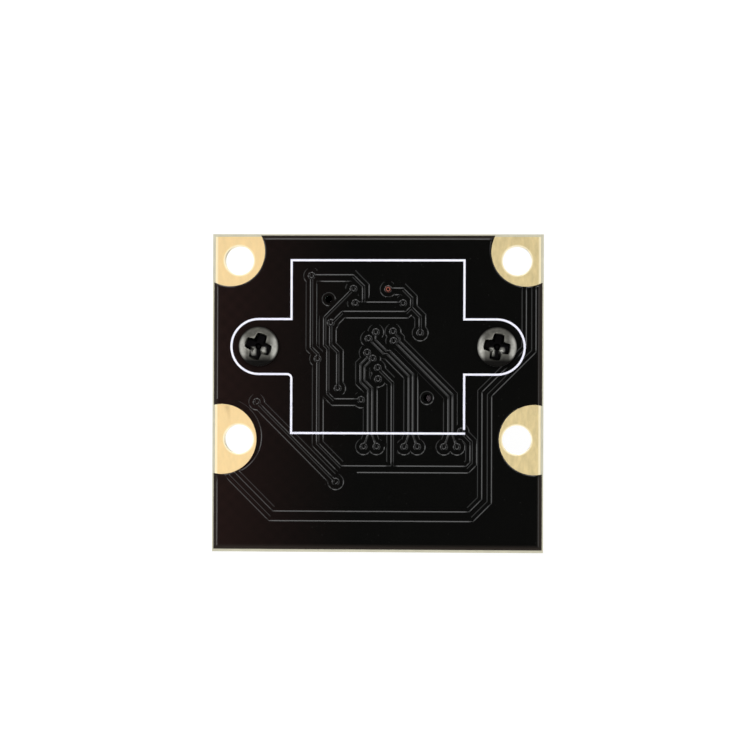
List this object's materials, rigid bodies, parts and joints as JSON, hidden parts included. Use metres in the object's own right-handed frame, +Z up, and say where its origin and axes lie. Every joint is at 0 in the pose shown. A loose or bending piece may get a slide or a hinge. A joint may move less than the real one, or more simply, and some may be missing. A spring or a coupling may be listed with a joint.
{
  "type": "camera module",
  "caption": "Small square board camera: black circuit board with gold corner pads and mounting holes, a screw-focus lens in a plastic holder and a flat cable connector.",
  "frame": {"origin": "centre of the four mounting holes on the laminate's rear face", "axes": "+X right as the rear is looked at, +Y out of the lens along the optical axis, +Z up, away from the cable connector"},
  "size_m": [0.025, 0.0164, 0.0241],
  "materials": {
    "laminate": "matte",
    "black_mask": "gloss",
    "gold_plating": "satin",
    "white_ink": "matte",
    "tin": "satin",
    "holder_plastic": "matte",
    "black_screw": "gloss",
    "filter_glass": "gloss",
    "silicon": "gloss",
    "cover_glass": "gloss",
    "black_anodised": "satin",
    "lens_glass": "gloss",
    "ivory_plastic": "matte",
    "contact_metal": "satin",
    "dark_plastic": "matte",
    "ceramic_base": "matte",
    "lid_metal": "satin",
    "capacitor_ceramic": "matte",
    "resistor_coat": "gloss"
  },
  "bodies": {
    "board": {"pcb": "laminate", "rear_solder_mask": "black_mask", "front_solder_mask": "black_mask", "plated_pads": "gold_plating", "rear_silkscreen": "white_ink", "solder_lands": "tin", "lens_holder": "holder_plastic", "holder_screws": "black_screw", "ir_cut_filter": "filter_glass", "image_sensor": "silicon", "sensor_cover_glass": "cover_glass", "ffc_housing": "ivory_plastic", "ffc_contacts": "contact_metal", "ffc_solder_tabs": "tin", "oscillator_base": "ceramic_base", "oscillator_lid": "lid_metal", "regulator_bodies": "dark_plastic", "regulator_leads": "tin", "capacitors": "capacitor_ceramic", "capacitor_ends": "tin", "resistors": "resistor_coat", "resistor_ends": "tin"},
    "optics": {"front_lens": "lens_glass", "middle_lens": "lens_glass", "rear_lens": "lens_glass", "lens_spacer": "black_anodised", "aperture_stop": "black_anodised"},
    "barrel": {"lens_barrel": "black_anodised", "lens_retaining_ring": "black_anodised"},
    "latch": {"ffc_latch": "dark_plastic"}
  },
  "joints": [
    {"name": "focus_travel", "type": "slide", "parent": "board", "child": "optics", "axis": [0, 1, 0], "range_m": [-0.0005, 0.0015]},
    {"name": "focus_turn", "type": "hinge", "parent": "optics", "child": "barrel", "pos_m": [0, 0, 0.00025], "axis": [0, 1, 0], "range_deg": [-360, 1080]},
    {"name": "latch_slide", "type": "slide", "parent": "board", "child": "latch", "axis": [0, 0, -1], "range_m": [0, 0.001]}
  ],
  "couplings": [
    {"joint": "focus_turn", "follows": "focus_travel", "rad_per_m": 12566}
  ]
}
